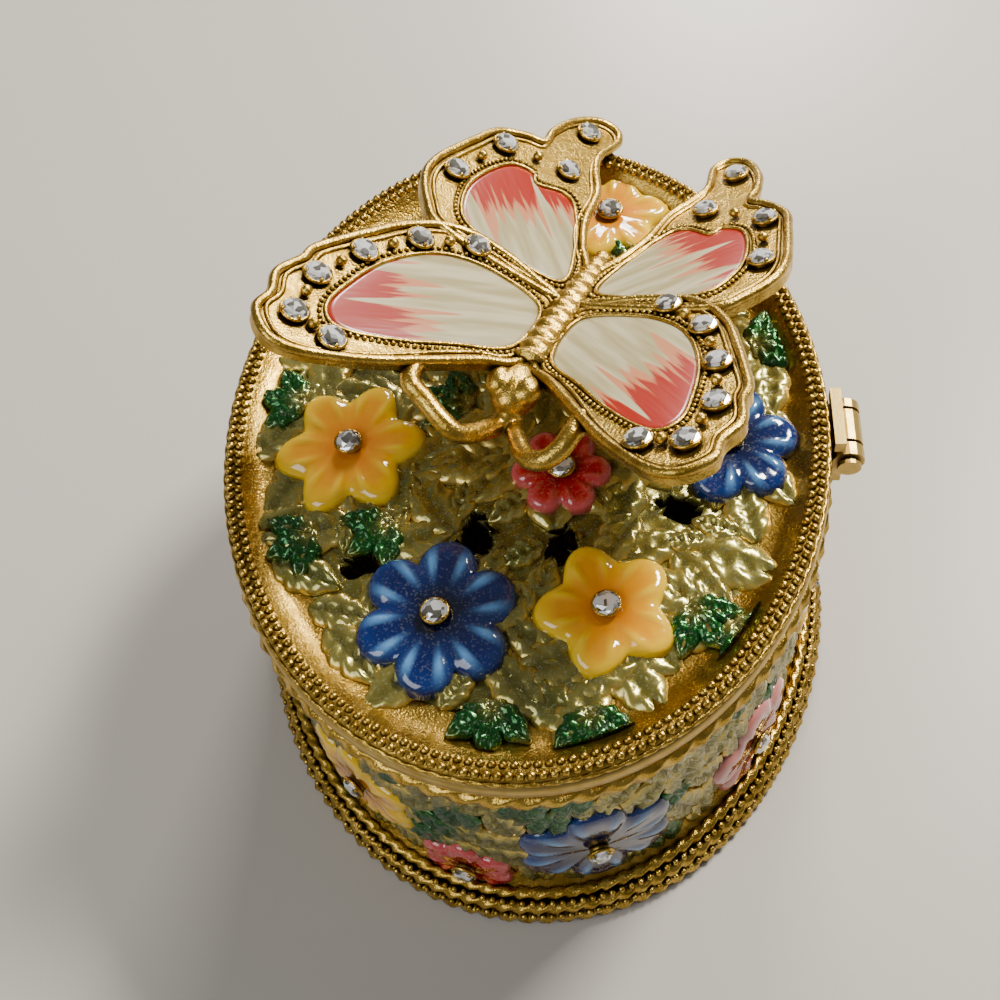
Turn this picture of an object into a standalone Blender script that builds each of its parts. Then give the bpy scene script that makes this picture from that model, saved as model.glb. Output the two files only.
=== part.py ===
"""Oval trinket box: a pierced floral cup, a hinged floral lid and a butterfly standing on the lid.

The box is cast in gold-coloured metal and enamelled. X is the short way across, with the hinge at
+X, Y is the long way, and Z is up. The origin is at the middle of the flat underside.
"""

import math

import bmesh
import bpy
from mathutils import Matrix, Vector

MM = 0.001
# Booleans are worked out this many times larger, where 32-bit rounding is far below an edge's length.
WORK_SCALE = 1000.0

# The oval: half widths of the lid's outer edge, and the stretch that turns a round piece oval.
HALF_X = 25.4 * MM
HALF_Y = 32.0 * MM
STRETCH = HALF_Y / HALF_X
ROUND_STEPS = 36

# The cup, from the floor up.
FOOT_FLARE = 2.0 * MM
FOOT_TOP = 3.5 * MM
FLOOR_THICK = 1.4 * MM
WALL_OUT = 24.4 * MM
WALL_IN = 22.9 * MM
RIM_BOTTOM = 23.4 * MM
SEAM = 26.3 * MM
SEAM_GAP = 0.3 * MM
WALL_RELIEF = 0.75 * MM

# The lid, whose rim is a band, a beaded edge and a dished ring around the domed floral floor.
LID_TOP = 29.3 * MM
BEAD_RISE = 0.4 * MM
BEAD_WIDE = 1.3 * MM
DISH_WIDE = 2.7 * MM
LID_FLOOR_EDGE = 27.6 * MM
LID_DOME = 1.3 * MM
LID_THICK = 1.1 * MM
LID_RELIEF = 0.95 * MM
LEAF_DIP = math.radians(3.0)
LEAF_RISE = 0.13 * MM

# The hinge at +X.
HINGE_X = 27.1 * MM
HINGE_Z = SEAM
HINGE_HALF = 2.8 * MM
BARREL_R = 1.35 * MM
PIN_R = 0.5 * MM
PIN_HEAD_R = 1.0 * MM
BORE_R = 0.8 * MM
LID_KNUCKLE = (-1.3 * MM, 1.7 * MM)
KNUCKLE_GAP = 0.3 * MM
LEAF_IN = 25.75 * MM
LEAF_THICK = 0.9 * MM
LEAF_REACH = 2.85 * MM

# The butterfly: where its body's middle stands, and how it is turned, pitched and rolled.
FLY_PLACE = (4.4 * MM, 7.8 * MM, 35.0 * MM)
FLY_TURN = math.radians(-22.3)
FLY_PITCH = math.radians(-17.4)
FLY_ROLL = math.radians(1.9)
WING_LIFT = math.radians(19.3)
WING_THICK = 1.1 * MM
CELL_DEPTH = 0.35 * MM
BODY_R = 1.6 * MM
BODY_FRONT = -9.6 * MM
BODY_REAR = 7.4 * MM
BODY_RINGS = 11
POST_R = 1.5 * MM
FEELER_R = 0.68 * MM

# Outlines in a wing's own plane, in millimetres: how far out from the body, and how far back.
FOREWING = [
    (0.4, -9.4), (3.2, -12.4), (6.6, -15.8), (9.8, -18.8), (12.6, -20.9), (15.2, -22.4),
    (17.3, -22.5), (19.2, -20.8), (19.2, -18.6), (20.0, -16.4), (19.3, -13.6), (19.2, -11.8),
    (17.7, -8.4), (16.6, -6.2), (15.2, -3.6), (12.9, -1.0), (10.4, 0.3), (7.6, 0.5), (4.2, 0.0),
    (0.4, -1.6),
]
HINDWING = [
    (0.4, -0.6), (6.0, -1.6), (12.8, -1.4), (15.2, 0.6), (16.8, 3.4), (17.0, 6.2), (16.2, 9.6),
    (15.6, 11.6), (14.6, 14.4), (12.4, 16.2), (10.6, 17.0), (10.6, 19.2), (9.8, 22.0),
    (8.1, 24.4), (6.2, 24.8), (5.2, 23.2), (5.8, 19.6), (5.1, 17.2), (3.8, 14.6), (3.1, 10.2),
    (1.8, 6.6), (0.4, 4.0),
]
FORE_CELL = [
    (2.0, -9.0), (6.0, -12.6), (9.0, -15.2), (12.2, -17.3), (14.2, -17.7), (15.3, -16.2),
    (15.2, -13.4), (14.4, -9.4), (12.6, -5.8), (10.2, -3.5), (6.6, -2.4), (2.0, -3.2),
]
HIND_CELL = [
    (2.0, 1.0), (8.0, 0.4), (11.6, 1.2), (13.1, 4.6), (12.9, 8.0), (11.6, 11.2), (9.6, 11.9),
    (8.7, 10.8), (6.3, 11.8), (4.6, 10.6), (2.6, 6.0),
]

# Crystals: their round size, and where they sit on the wings, in millimetres as above.
CRYSTAL_R = 1.1 * MM
CRYSTAL_TALL = 0.6 * MM
TABLE_SHARE = 0.62
CRYSTAL_SIDES = 8
SEAT_GAP = 0.3 * MM
WING_CRYSTALS = [
    (13.1, -19.3), (16.6, -19.0), (17.3, -14.3), (15.8, -9.2), (13.1, -4.3), (9.1, -1.2),
    (14.7, 6.0), (13.0, 12.9), (7.1, 14.7), (7.8, 21.4),
]

# Feelers: each runs from the head out to its wing's front edge. Points in the butterfly's frame, mm.
LEFT_FEELER = [
    (-0.2, -13.2, -2.8), (-0.5, -16.4, -1.4), (-1.7, -18.7, -0.5), (-3.1, -18.8, 0.3),
    (-5.0, -18.1, 1.2), (-6.4, -17.6, 1.9), (-6.9, -15.9, 2.2),
]
RIGHT_FEELER = [
    (0.7, -13.4, -2.6), (2.2, -16.4, -1.4), (3.9, -18.7, -0.6), (5.4, -19.1, 0.2),
    (6.3, -18.3, 1.1), (6.6, -17.4, 1.8), (6.9, -15.9, 2.2),
]

# Flowers on the lid: x, y, radius in millimetres, petals, turn in degrees.
LID_FLOWERS = {
    "blue_front": (-6.5, -18.0, 6.7, 6, 20.0),
    "yellow_left": (-14.6, -2.0, 6.6, 6, 5.0),
    "yellow_front": (6.9, -17.6, 5.8, 5, 40.0),
    "red_middle": (3.3, -5.2, 4.2, 6, 0.0),
    "yellow_rear": (7.6, 23.2, 5.6, 6, 10.0),
    "blue_right": (17.2, -2.2, 5.8, 6, 12.0),
    "red_rear": (-9.6, 17.0, 4.6, 6, 8.0),
}
# Leaves on the lid: x, y, half length in millimetres, and the way they point in degrees.
LID_LEAVES = [
    (-18.6, 7.2, 3.6, 100.0), (-17.2, -10.0, 3.4, 250.0), (-11.0, -9.6, 3.0, 300.0),
    (-4.6, 1.6, 4.2, 20.0), (13.4, -15.4, 3.4, 60.0), (14.2, -19.4, 3.0, 300.0),
    (-1.6, -26.0, 3.4, 280.0), (5.0, -25.6, 2.8, 270.0), (18.6, 8.6, 3.8, 70.0),
    (13.6, 15.2, 3.6, 40.0), (-4.6, -8.4, 3.6, 200.0), (0.6, -12.4, 3.0, 80.0),
    (10.4, -9.8, 3.6, 330.0), (-16.0, 13.8, 3.4, 60.0), (-2.4, 24.8, 3.8, 170.0),
    (-3.0, 10.0, 4.4, 130.0), (5.6, 12.6, 4.4, 60.0), (-12.2, -22.6, 2.6, 230.0),
]
LID_HOLES = [
    (-3.6, -10.4), (-13.0, -12.6), (3.3, -11.6), (12.9, -8.2), (-4.0, -27.0),
    (-11.0, 7.6), (1.6, 18.4), (12.0, 8.6),
]
HOLE_R = 1.05 * MM

# Flowers around the wall: angle on the oval in degrees, height and radius in millimetres, petals.
WALL_FLOWERS = {
    "blue_front": (-77.0, 11.2, 7.2, 6),
    "red_front": (-104.0, 5.6, 4.4, 6),
    "yellow_left": (-126.0, 12.6, 6.2, 6),
    "pink_right": (-40.0, 8.6, 6.0, 5),
    "pink_left": (-163.0, 14.4, 5.0, 5),
    "yellow_right": (-8.0, 9.4, 5.6, 6),
    "blue_right": (26.0, 12.4, 6.4, 6),
    "red_rear": (56.0, 8.0, 5.0, 5),
    "blue_rear": (90.0, 12.0, 6.8, 6),
    "yellow_rear": (124.0, 9.6, 6.2, 6),
    "pink_rear": (158.0, 11.6, 5.6, 5),
}
# Leaves around the wall: angle, height, half length, and the way they point, 0 towards +angle.
WALL_LEAVES = [
    (-55.5, 17.6, 3.8, 50.0), (-53.5, 6.4, 3.8, 290.0), (-107.0, 14.2, 3.8, 170.0),
    (-24.0, 16.4, 4.0, 130.0), (-143.0, 8.4, 4.2, 240.0), (-177.0, 7.4, 3.6, 260.0),
    (7.0, 17.6, 3.6, 60.0), (42.0, 17.0, 3.6, 40.0), (73.0, 17.4, 3.6, 100.0),
    (107.0, 16.8, 3.6, 80.0), (140.0, 17.4, 3.6, 120.0),
]
WALL_HOLES = [(-60.5, 14.6), (-90.5, 19.4), (-116.5, 18.8), (-150.0, 16.2), (-30.5, 12.6)]


def gold_material(name, colour, roughness):
    """A metal finish of one colour."""
    material = bpy.data.materials.new(name)
    material.use_nodes = True
    shader = material.node_tree.nodes["Principled BSDF"]
    shader.inputs["Base Color"].default_value = (*colour, 1.0)
    shader.inputs["Metallic"].default_value = 1.0
    shader.inputs["Roughness"].default_value = roughness
    return material


def glass_material(name):
    """Clear cut glass."""
    material = gold_material(name, (0.93, 0.94, 0.96), 0.05)
    shader = material.node_tree.nodes["Principled BSDF"]
    shader.inputs["Metallic"].default_value = 0.0
    shader.inputs["Transmission Weight"].default_value = 0.8
    return material


def clear_scene():
    """Removes what the scene starts with, and makes the two collections."""
    for obj in list(bpy.data.objects):
        bpy.data.objects.remove(obj)
    found = {}
    for name in ("trinket_box", "cutters"):
        found[name] = bpy.data.collections.new(name)
        bpy.context.scene.collection.children.link(found[name])
    return found["trinket_box"], found["cutters"]


def add_object(name, mesh, collection, material=None):
    """Puts a mesh into the scene under a name."""
    obj = bpy.data.objects.new(name, mesh)
    collection.objects.link(obj)
    if material:
        mesh.materials.append(material)
    return obj


def add_helper(name, mesh):
    """A cutter, or a shape that a Boolean joins on: never rendered itself."""
    obj = add_object(name, mesh, CUTTERS)
    obj.hide_render = True
    obj.display_type = "WIRE"
    return obj


def mesh_from(build, name):
    """A mesh filled by a function that works on a bmesh."""
    shape = bmesh.new()
    build(shape)
    mesh = bpy.data.meshes.new(name)
    shape.to_mesh(mesh)
    shape.free()
    return mesh


def settled(obj, name):
    """The evaluated mesh of an object as a new mesh with doubles merged. The object is removed."""
    graph = bpy.context.evaluated_depsgraph_get()
    mesh = bpy.data.meshes.new_from_object(obj.evaluated_get(graph))
    mesh.name = name
    mesh.transform(obj.matrix_world)
    bpy.data.objects.remove(obj)
    shape = bmesh.new()
    shape.from_mesh(mesh)
    bmesh.ops.remove_doubles(shape, verts=shape.verts, dist=0.01 * MM)
    bmesh.ops.recalc_face_normals(shape, faces=shape.faces)
    shape.to_mesh(mesh)
    shape.free()
    return mesh


def turned_mesh(name, profile, steps, stretch=1.0):
    """A profile of (radius, height) turned about Z, then stretched along Y to an oval."""
    line = bpy.data.meshes.new(name + "_profile")
    points = [(radius, 0.0, height) for radius, height in profile]
    line.from_pydata(points, [(i, i + 1) for i in range(len(points) - 1)], [])
    obj = add_helper(name + "_turning", line)
    screw = obj.modifiers.new("turn", "SCREW")
    screw.steps = steps
    screw.render_steps = steps
    screw.use_merge_vertices = True
    screw.merge_threshold = 0.0001
    mesh = settled(obj, name)
    mesh.transform(Matrix.Diagonal((1.0, stretch, 1.0, 1.0)))
    return mesh


def petal_mesh(half_long, half_wide, half_tall, place):
    """A flattened ball, longest along its own X, put in place by a matrix."""
    sizes = Matrix.Diagonal((half_long, half_wide, half_tall, 1.0))

    def build(shape):
        bmesh.ops.create_uvsphere(
            shape, u_segments=8, v_segments=4, radius=1.0, matrix=place @ sizes
        )

    return mesh_from(build, "petal")


def hole_mesh(place, radius, half_deep):
    """A short six-sided rod along its own Z, longer one way, that pierces a wall."""
    sizes = Matrix.Diagonal((radius * 1.5, radius, half_deep, 1.0))

    def build(shape):
        bmesh.ops.create_cone(
            shape, cap_ends=True, segments=6, radius1=1.0, radius2=1.0, depth=2.0,
            matrix=place @ sizes,
        )

    return mesh_from(build, "hole")


def box_mesh(low, high):
    """A block between two corners."""
    middle = (Vector(low) + Vector(high)) / 2
    size = Vector(high) - Vector(low)
    place = Matrix.Translation(middle) @ Matrix.Diagonal((*size, 1.0))

    def build(shape):
        bmesh.ops.create_cube(shape, size=1.0, matrix=place)

    return mesh_from(build, "block")


def bore_mesh():
    """The round hole through the knuckles."""
    return rod_mesh(BORE_R, -2 * HINGE_HALF, 2 * HINGE_HALF)


def rod_mesh(radius, start, end, sides=14):
    """A round rod along Y between two places on the hinge's axis."""
    middle = Vector((HINGE_X, (start + end) / 2, HINGE_Z))
    place = Matrix.Translation(middle) @ Matrix.Rotation(math.pi / 2, 4, "X")

    def build(shape):
        bmesh.ops.create_cone(
            shape, cap_ends=True, segments=sides, radius1=radius, radius2=radius,
            depth=end - start, matrix=place,
        )

    return mesh_from(build, "rod")


def combine(obj, joined, cut=()):
    """One Boolean joins every mesh of a list onto an object, one cuts others out, and both are applied."""
    enlarge = Matrix.Scale(WORK_SCALE, 4)
    obj.data.transform(enlarge)
    helpers = []
    for operation, meshes in (("UNION", joined), ("DIFFERENCE", cut)):
        if not meshes:
            continue
        group = bpy.data.collections.new(f"{obj.name}_{operation.lower()}")
        CUTTERS.children.link(group)
        for mesh in meshes:
            mesh.transform(enlarge)
            helper = add_helper(f"{group.name}_{len(helpers)}", mesh)
            CUTTERS.objects.unlink(helper)
            group.objects.link(helper)
            helpers.append(helper)
        modifier = obj.modifiers.new(group.name, "BOOLEAN")
        modifier.operation = operation
        modifier.solver = "EXACT"
        modifier.operand_type = "COLLECTION"
        modifier.collection = group
    graph = bpy.context.evaluated_depsgraph_get()
    mesh = bpy.data.meshes.new_from_object(obj.evaluated_get(graph))
    mesh.transform(enlarge.inverted())
    mesh.name = obj.name
    obj.modifiers.clear()
    obj.data = mesh
    for helper in helpers:
        bpy.data.objects.remove(helper)


def plate_mesh(name, outline, half_thick, side):
    """A flat plate of an outline given in millimetres; side is 1 for right and -1 for left."""
    curve = bpy.data.curves.new(name, "CURVE")
    curve.dimensions = "2D"
    curve.fill_mode = "BOTH"
    curve.extrude = half_thick
    spline = curve.splines.new("POLY")
    spline.points.add(len(outline) - 1)
    for point, (out, back) in zip(spline.points, outline):
        point.co = (side * out * MM, back * MM, 0.0, 1.0)
    spline.use_cyclic_u = True
    return settled(add_helper(name, curve), name)


def wing_mesh(outline, cell, side, place):
    """A wing's plate with its cell sunk into the upper face, put in place by a matrix."""
    wing = add_helper("wing_plate", plate_mesh("wing", outline, WING_THICK / 2, side))
    sunk = plate_mesh("cell", cell, WING_THICK / 2, side)
    sunk.transform(Matrix.Translation((0.0, 0.0, WING_THICK - CELL_DEPTH)))
    combine(wing, [], [sunk])
    mesh = wing.data
    bpy.data.objects.remove(wing)
    mesh.transform(place)
    return mesh


def tube_mesh(name, points, radius):
    """A round wire through points given in millimetres, with filled ends."""
    curve = bpy.data.curves.new(name, "CURVE")
    curve.dimensions = "3D"
    curve.bevel_depth = radius
    curve.bevel_resolution = 1
    curve.use_fill_caps = True
    spline = curve.splines.new("POLY")
    spline.points.add(len(points) - 1)
    for point, place in zip(spline.points, points):
        point.co = (*(Vector(place) * MM), 1.0)
    return settled(add_helper(name, curve), name)


def rounded_between(start, end, bulge, count):
    """Points of a half-round moulding that runs from one profile point to another."""
    middle = (Vector(start) + Vector(end)) / 2
    half = (Vector(end) - Vector(start)) / 2
    out = Vector((-half.y, half.x)).normalized() * bulge
    found = []
    for i in range(count + 1):
        angle = math.pi * i / count
        found.append(tuple(middle - half * math.cos(angle) + out * math.sin(angle)))
    return found


def lid_surface(x, y):
    """Height of the lid's domed floor, which falls with the square of the oval distance."""
    share = math.hypot(x / HALF_X, y / HALF_Y)
    edge = (HALF_X - BEAD_WIDE - DISH_WIDE) / HALF_X
    return LID_FLOOR_EDGE + LID_DOME * (1.0 - min(share / edge, 1.0) ** 2)


def wall_place(angle, height):
    """A frame on the wall's outside: X runs along the wall, Y up, Z straight out."""
    turn = math.radians(angle)
    here = Vector((WALL_OUT * math.cos(turn), WALL_OUT * STRETCH * math.sin(turn), height))
    along = Vector((-math.sin(turn), STRETCH * math.cos(turn), 0.0)).normalized()
    out = Vector((along.y, -along.x, 0.0))
    up = Vector((0.0, 0.0, 1.0))
    frame = Matrix((along, up, out)).transposed().to_4x4()
    return Matrix.Translation(here) @ frame


def flower_mesh(place, radius, petals, turn, relief):
    """A dome with a scalloped edge: its reach and its height rise and fall with each petal."""

    def build(shape):
        bmesh.ops.create_uvsphere(shape, u_segments=petals * 4, v_segments=4, radius=1.0)
        for vert in shape.verts:
            x, y, z = vert.co
            wave = math.cos(petals * (math.atan2(y, x) - turn)) if abs(z) < 0.99 else 0.0
            reach = radius * (0.86 + 0.14 * wave)
            vert.co = (x * reach, y * reach, z * relief * (0.88 + 0.12 * wave))
        bmesh.ops.transform(shape, matrix=place, verts=shape.verts)

    return mesh_from(build, "flower")


def crystal_mesh():
    """A cut stone: an eight-sided crown that narrows from its seat to its flat table."""

    def build(shape):
        bmesh.ops.create_cone(
            shape, cap_ends=True, segments=CRYSTAL_SIDES, radius1=CRYSTAL_R,
            radius2=CRYSTAL_R * TABLE_SHARE, depth=CRYSTAL_TALL,
            matrix=Matrix.Translation((0.0, 0.0, CRYSTAL_TALL / 2)),
        )

    return mesh_from(build, "crystal")


def place_crystal(name, parent, place):
    """One crystal, seated on a frame whose Z is the seat's outward direction."""
    obj = add_object(name, CRYSTAL, BOX)
    obj.parent = parent
    lift = Matrix.Translation((0.0, 0.0, SEAT_GAP))
    obj.matrix_basis = parent.matrix_world.inverted() @ place @ lift if parent else place @ lift


def make_base():
    """The cup: flat floor, flared foot, straight wall with flowers in relief, and a corded rim."""
    foot = rounded_between((WALL_OUT + 0.4 * MM, FOOT_TOP), (HALF_X + FOOT_FLARE * 0.6, 0.0), 1.3 * MM, 4)
    rim = rounded_between((WALL_OUT, SEAM - 0.1 * MM), (WALL_OUT, RIM_BOTTOM), 1.0 * MM, 4)
    profile = [(0.0, FLOOR_THICK), (WALL_IN - 0.6 * MM, FLOOR_THICK), (WALL_IN, FLOOR_THICK + 0.6 * MM)]
    profile += [(WALL_IN, SEAM - 0.1 * MM)] + rim + foot + [(0.0, 0.0)]
    mesh = turned_mesh("base", profile, ROUND_STEPS, STRETCH)
    base = add_object("base", mesh, BOX, GOLD)
    relief = []
    for angle, height, radius, petals in WALL_FLOWERS.values():
        place = wall_place(angle, height * MM)
        relief.append(flower_mesh(place, radius * MM, petals, math.pi / 2, WALL_RELIEF))
    for angle, height, half_long, turn in WALL_LEAVES:
        spin = Matrix.Rotation(math.radians(turn), 4, "Z") @ Matrix.Rotation(LEAF_DIP, 4, "Y")
        size = half_long * MM
        place = wall_place(angle, height * MM) @ spin
        relief.append(petal_mesh(size, size * 0.55, WALL_RELIEF * 1.2, place))
    holes = [hole_mesh(wall_place(a, h * MM), HOLE_R, 3.0 * MM) for a, h in WALL_HOLES]
    combine(base, relief, holes)
    for name, (angle, height, radius, petals) in WALL_FLOWERS.items():
        seat = Matrix.Translation((0.0, 0.0, WALL_RELIEF * 1.35))
        place_crystal(f"crystal_wall_{name}", None, wall_place(angle, height * MM) @ seat)


def make_lid(pivot):
    """The lid: rim band, beaded edge, dished ring and the pierced, domed floor with its flowers."""
    dish_out = HALF_X - BEAD_WIDE
    dish_in = dish_out - DISH_WIDE
    profile = [(dish_in * i / 3, lid_surface(dish_in * i / 3, 0.0)) for i in range(4)]
    profile += [(dish_in + DISH_WIDE * 0.55, LID_FLOOR_EDGE + 0.35 * MM)]
    profile += rounded_between((dish_out, LID_TOP), (HALF_X, LID_TOP), BEAD_RISE, 3)
    profile += [(HALF_X, SEAM + SEAM_GAP), (dish_in + 0.4 * MM, SEAM + SEAM_GAP)]
    profile += [(dish_in * 0.55, lid_surface(dish_in * 0.55, 0.0) - LID_THICK)]
    profile += [(0.0, lid_surface(0.0, 0.0) - LID_THICK)]
    lid = add_object("lid", turned_mesh("lid", profile, ROUND_STEPS, STRETCH), BOX, GOLD)
    relief = []
    for x, y, radius, petals, turn in LID_FLOWERS.values():
        place = Matrix.Translation((x * MM, y * MM, lid_surface(x * MM, y * MM)))
        relief.append(flower_mesh(place, radius * MM, petals, math.radians(turn), LID_RELIEF))
    for x, y, half_long, turn in LID_LEAVES:
        place = Matrix.Translation((x * MM, y * MM, lid_surface(x * MM, y * MM) + LEAF_RISE))
        spin = Matrix.Rotation(math.radians(turn), 4, "Z") @ Matrix.Rotation(LEAF_DIP, 4, "Y")
        size = half_long * MM
        relief.append(petal_mesh(size, size * 0.58, LID_RELIEF, place @ spin))
    holes = []
    for x, y in LID_HOLES:
        place = Matrix.Translation((x * MM, y * MM, LID_FLOOR_EDGE))
        spin = Matrix.Rotation(x + y, 4, "Z")
        holes.append(hole_mesh(place @ spin, HOLE_R, 4.0 * MM))
    combine(lid, relief, holes)
    hang_on(pivot, lid)
    for name, (x, y, radius, petals, turn) in LID_FLOWERS.items():
        height = lid_surface(x * MM, y * MM) + LID_RELIEF * 1.35
        seat = Matrix.Translation((x * MM, y * MM, height))
        place_crystal(f"crystal_lid_{name}", pivot, seat)


def hang_on(pivot, obj):
    """Parents a piece to the hinge without moving it."""
    obj.parent = pivot
    obj.matrix_basis = pivot.matrix_world.inverted()


def make_hinge(pivot):
    """A leaf on the lid with the middle knuckle, a leaf on the cup with the outer two, and a pin."""
    outside = LEAF_IN + LEAF_THICK
    clear = BARREL_R + KNUCKLE_GAP
    low, high = LID_KNUCKLE
    lid_leaf = add_object(
        "hinge_leaf_lid",
        box_mesh((LEAF_IN, -HINGE_HALF, HINGE_Z + clear), (outside, HINGE_HALF, HINGE_Z + LEAF_REACH)),
        BOX,
        PLAIN_GOLD,
    )
    web = box_mesh((LEAF_IN, low, HINGE_Z + SEAM_GAP), (outside, high, HINGE_Z + clear + 0.2 * MM))
    combine(lid_leaf, [web, rod_mesh(BARREL_R, low, high)], [bore_mesh()])
    hang_on(pivot, lid_leaf)
    base_leaf = add_object(
        "hinge_leaf_base",
        box_mesh((LEAF_IN, -HINGE_HALF, HINGE_Z - LEAF_REACH), (outside, HINGE_HALF, HINGE_Z - clear)),
        BOX,
        PLAIN_GOLD,
    )
    joined = []
    for start, end in ((-HINGE_HALF, low - KNUCKLE_GAP), (high + KNUCKLE_GAP, HINGE_HALF)):
        joined.append(box_mesh((LEAF_IN, start, HINGE_Z - clear - 0.2 * MM), (outside, end, HINGE_Z)))
        joined.append(rod_mesh(BARREL_R, start, end))
    combine(base_leaf, joined, [bore_mesh()])
    head_depth = 0.35 * MM
    reach = HINGE_HALF + KNUCKLE_GAP
    pin = add_object("hinge_pin", rod_mesh(PIN_R, -reach - head_depth / 2, HINGE_HALF), BOX, PLAIN_GOLD)
    combine(pin, [rod_mesh(PIN_HEAD_R, -reach - head_depth, -reach)])


def make_butterfly(pivot):
    """One casting: four wings with sunk cells, a ringed body, a head and two looped feelers."""
    turn = Matrix.Rotation(FLY_TURN, 4, "Z") @ Matrix.Rotation(FLY_ROLL, 4, "Y")
    frame = Matrix.Translation(FLY_PLACE) @ turn @ Matrix.Rotation(FLY_PITCH, 4, "X")
    body = []
    for i in range(BODY_RINGS * 2 + 1):
        share = i / (BODY_RINGS * 2)
        ripple = 1.0 if i % 2 else 0.86
        taper = 1.0 - 0.45 * share**3
        along = BODY_FRONT + (BODY_REAR - BODY_FRONT) * share
        body.append((BODY_R * taper * ripple, -along))
    profile = [(0.0, body[0][1])] + body + [(0.0, body[-1][1])]
    mesh = turned_mesh("butterfly", profile, 8)
    mesh.transform(frame @ Matrix.Rotation(math.pi / 2, 4, "X"))
    butterfly = add_object("butterfly", mesh, BOX, GOLD)
    joined = []
    for side in (-1, 1):
        lift = Matrix.Rotation(-side * WING_LIFT, 4, "Y")
        for outline, cell in ((FOREWING, FORE_CELL), (HINDWING, HIND_CELL)):
            joined.append(wing_mesh(outline, cell, side, frame @ lift))
    for middle, sizes in (
        ((0.03, -11.55, -0.62), (1.93, 2.87, 1.83)),
        ((1.22, -12.3, 0.17), (1.1, 1.42, 1.1)),
        ((-1.18, -12.35, 0.22), (1.1, 1.4, 1.13)),
        ((0.2, -13.4, -2.07), (1.2, 1.7, 1.4)),
    ):
        place = Matrix.Translation(Vector(middle) * MM)
        joined.append(petal_mesh(*(size * MM for size in sizes), frame @ place))
    for points in (LEFT_FEELER, RIGHT_FEELER):
        feeler = tube_mesh("feeler", points, FEELER_R)
        feeler.transform(frame)
        joined.append(feeler)
    post_foot = lid_surface(FLY_PLACE[0], FLY_PLACE[1]) + LID_RELIEF + SEAT_GAP
    post = Matrix.Translation((*FLY_PLACE[:2], (post_foot + FLY_PLACE[2]) / 2))
    post_size = Matrix.Diagonal((POST_R, POST_R, FLY_PLACE[2] - post_foot, 1.0))

    def build_post(shape):
        bmesh.ops.create_cone(
            shape, cap_ends=True, segments=10, radius1=1.4, radius2=0.8, depth=1.0,
            matrix=post @ post_size,
        )

    joined.append(mesh_from(build_post, "post"))
    combine(butterfly, joined)
    hang_on(pivot, butterfly)
    for side, word in ((-1, "left"), (1, "right")):
        lift = Matrix.Rotation(-side * WING_LIFT, 4, "Y")
        for number, (out, back) in enumerate(WING_CRYSTALS, 1):
            seat = Matrix.Translation((side * out * MM, back * MM, WING_THICK / 2))
            place_crystal(f"crystal_{word}_wing_{number}", pivot, frame @ lift @ seat)


def make_box():
    """Builds every piece. The lid, its leaf and the butterfly hang on the hinge's axis."""
    pivot = bpy.data.objects.new("lid_pivot", None)
    pivot.location = (HINGE_X, 0.0, HINGE_Z)
    BOX.objects.link(pivot)
    bpy.context.view_layer.update()
    make_base()
    make_lid(pivot)
    make_hinge(pivot)
    make_butterfly(pivot)


BOX, CUTTERS = clear_scene()
GOLD = gold_material("antique_gold", (0.72, 0.50, 0.14), 0.28)
PLAIN_GOLD = gold_material("plain_gold", (0.70, 0.50, 0.20), 0.38)
CRYSTAL = crystal_mesh()
CRYSTAL.materials.append(glass_material("crystal"))
make_box()
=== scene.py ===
"""Looks of the butterfly trinket box: antique gold, enamel flowers and leaves, crystals and a butterfly."""

import math

import bmesh
import bpy
import numpy as np
from mathutils import Matrix, Vector, geometry


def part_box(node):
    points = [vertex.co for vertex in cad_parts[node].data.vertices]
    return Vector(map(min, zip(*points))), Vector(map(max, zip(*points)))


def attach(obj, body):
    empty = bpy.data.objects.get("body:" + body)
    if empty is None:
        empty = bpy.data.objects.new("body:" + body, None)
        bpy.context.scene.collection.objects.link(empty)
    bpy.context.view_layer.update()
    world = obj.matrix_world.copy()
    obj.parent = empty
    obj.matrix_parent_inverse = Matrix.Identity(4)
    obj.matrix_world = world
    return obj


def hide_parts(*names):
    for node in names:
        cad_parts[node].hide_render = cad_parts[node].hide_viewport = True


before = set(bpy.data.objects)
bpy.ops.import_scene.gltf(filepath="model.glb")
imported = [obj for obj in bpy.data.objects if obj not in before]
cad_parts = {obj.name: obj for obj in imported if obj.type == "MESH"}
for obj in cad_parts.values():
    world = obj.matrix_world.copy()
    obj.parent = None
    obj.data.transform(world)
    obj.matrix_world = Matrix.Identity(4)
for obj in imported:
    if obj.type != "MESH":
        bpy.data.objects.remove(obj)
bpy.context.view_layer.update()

# ---------------------------------------------------------------- sizes, in millimetres
MM = 0.001
HALF_X = 25.4  # half the lid's width
HALF_Y = 32.0
STRETCH = HALF_Y / HALF_X
FLOOR_TOP = 1.4
WALL_OUT = 24.4
WALL_IN = 22.9
RIM_BOTTOM = 23.4
RIM_TOP = 26.2
RIM_OUT = 25.1
FOOT_TOP = 3.5
LID_BOTTOM = 26.6
BAND_LOW = 26.75  # the satin band on the lid's side
BAND_HIGH = 28.65
BEAD_WIDE = 1.3
DISH_WIDE = 2.7
DISH_OUT = HALF_X - BEAD_WIDE
DISH_IN = DISH_OUT - DISH_WIDE
LID_FLOOR_EDGE = 27.6
LID_DOME = 1.3
LID_THICK = 0.99
CAST_WAVE = 0.1  # height of the waves in the cast floor of the lid
HOLE_R = 1.6
HOLE_SNAP = 0.3  # how near a point lies to a hole's edge to be moved onto it
LEAVES_STAY = 0.955  # share of the dish's oval that an ornament on the lid keeps within

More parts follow.
